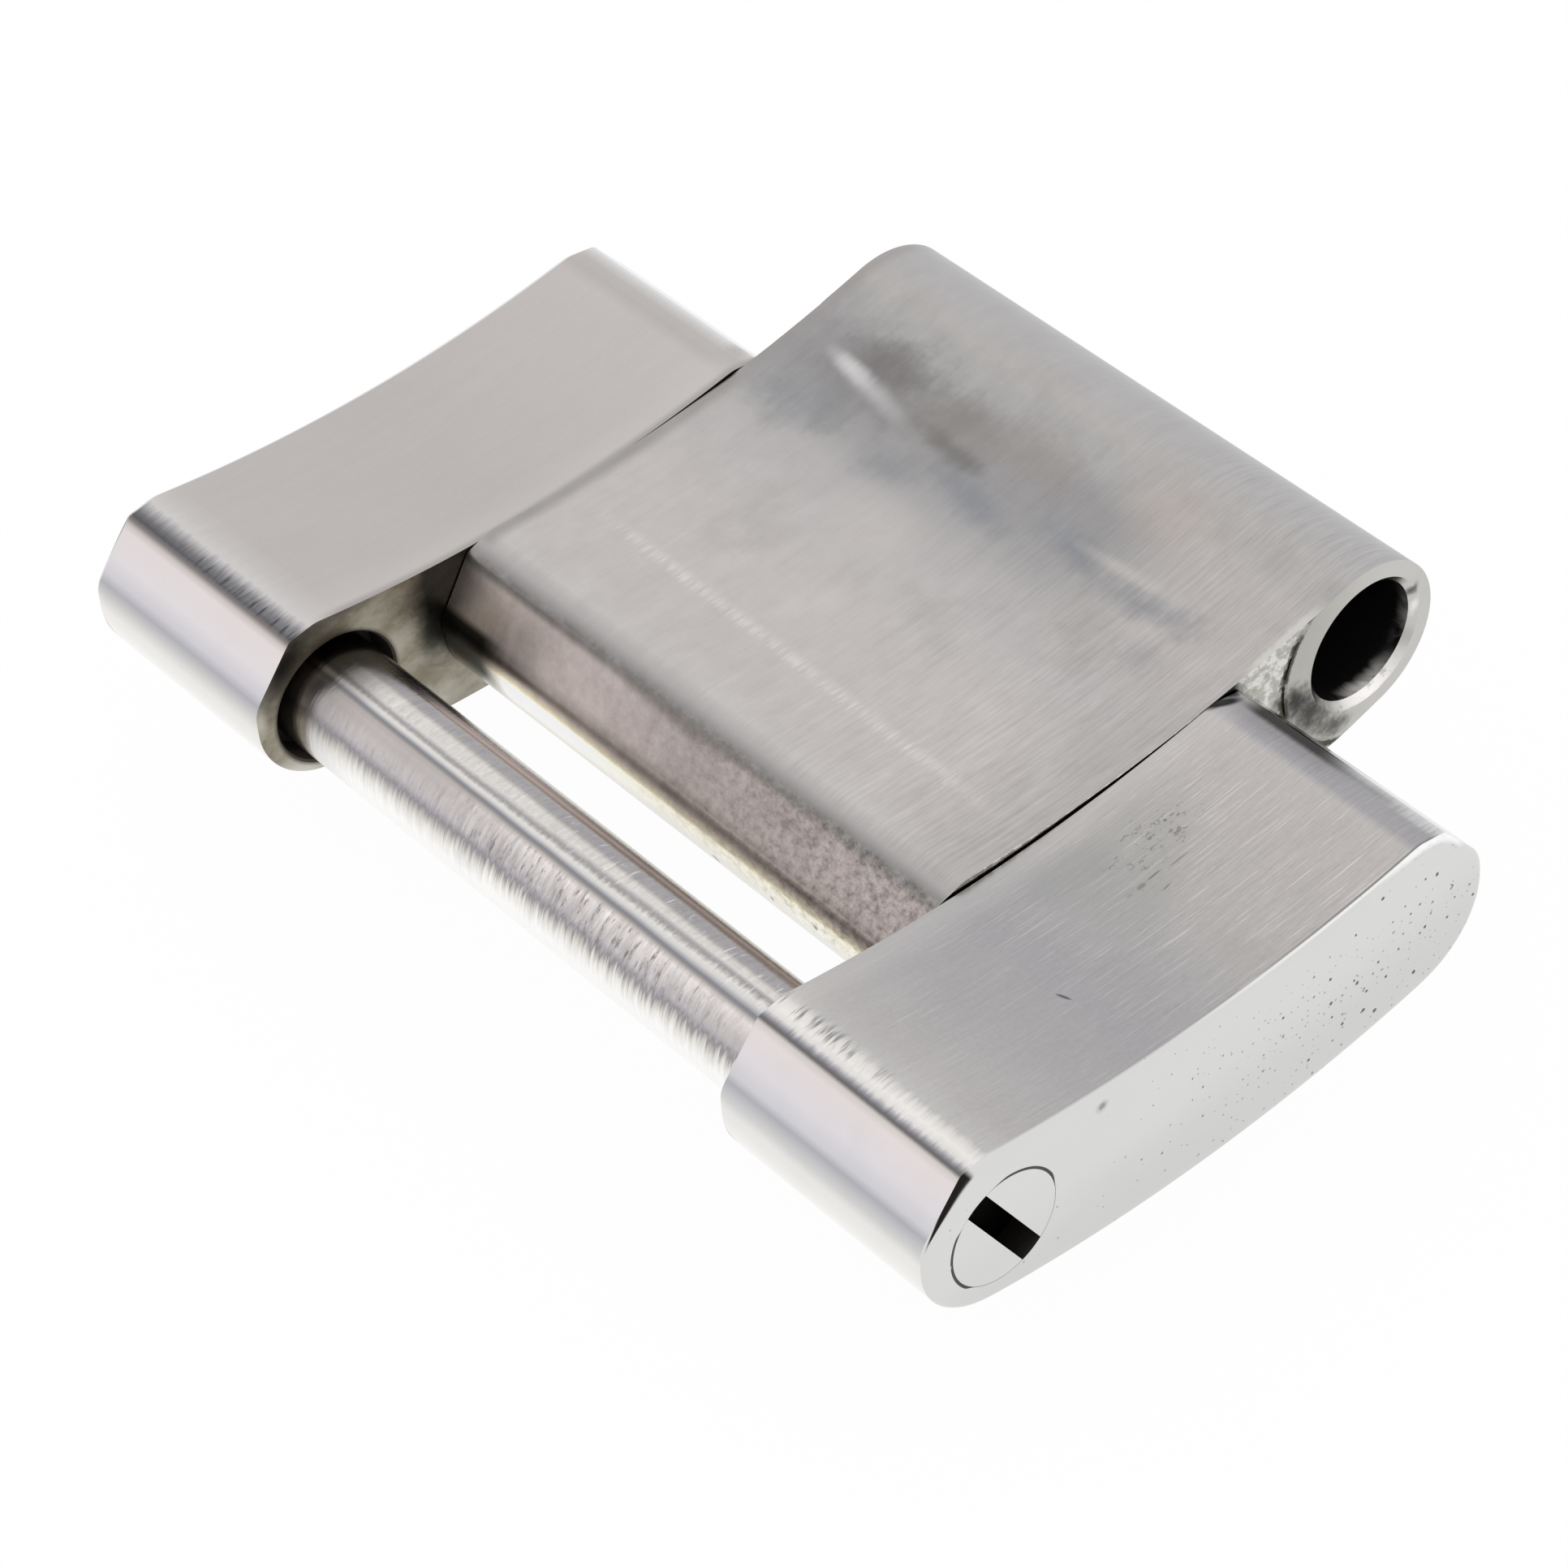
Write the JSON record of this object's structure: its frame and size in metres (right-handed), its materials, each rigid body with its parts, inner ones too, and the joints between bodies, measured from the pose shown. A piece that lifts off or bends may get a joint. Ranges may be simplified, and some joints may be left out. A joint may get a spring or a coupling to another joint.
{
  "type": "watch bracelet link",
  "caption": "Steel watch bracelet link: two outer links, a hinged centre link with a bore at its far end, and a slotted link screw across the open near end.",
  "frame": {"origin": "on the link screw's axis, at the middle of the bracelet's width", "axes": "+X along the bracelet from the screw towards the centre link's free end, +Y along the screw away from its head, +Z towards the wrist"},
  "size_m": [0.0119, 0.016, 0.0032],
  "materials": {
    "link_steel": "brushed along the length, polished on the side faces",
    "screw_steel": "turned and lightly polished"
  },
  "bodies": {
    "outer_links": {"front_outer_link": "link_steel", "rear_outer_link": "link_steel", "hinge_pin": "screw_steel"},
    "centre": {"centre_link": "link_steel"},
    "screw": {"link_screw": "screw_steel"}
  },
  "joints": [
    {"name": "link_hinge", "type": "hinge", "parent": "outer_links", "child": "centre", "pos_m": [0.00476, 0, 0], "axis": [0, -1, 0], "range_deg": [-27, 33]},
    {"name": "screw_draw", "type": "slide", "parent": "outer_links", "child": "screw", "axis": [0, -1, 0], "range_m": [0, 0.0155]}
  ]
}
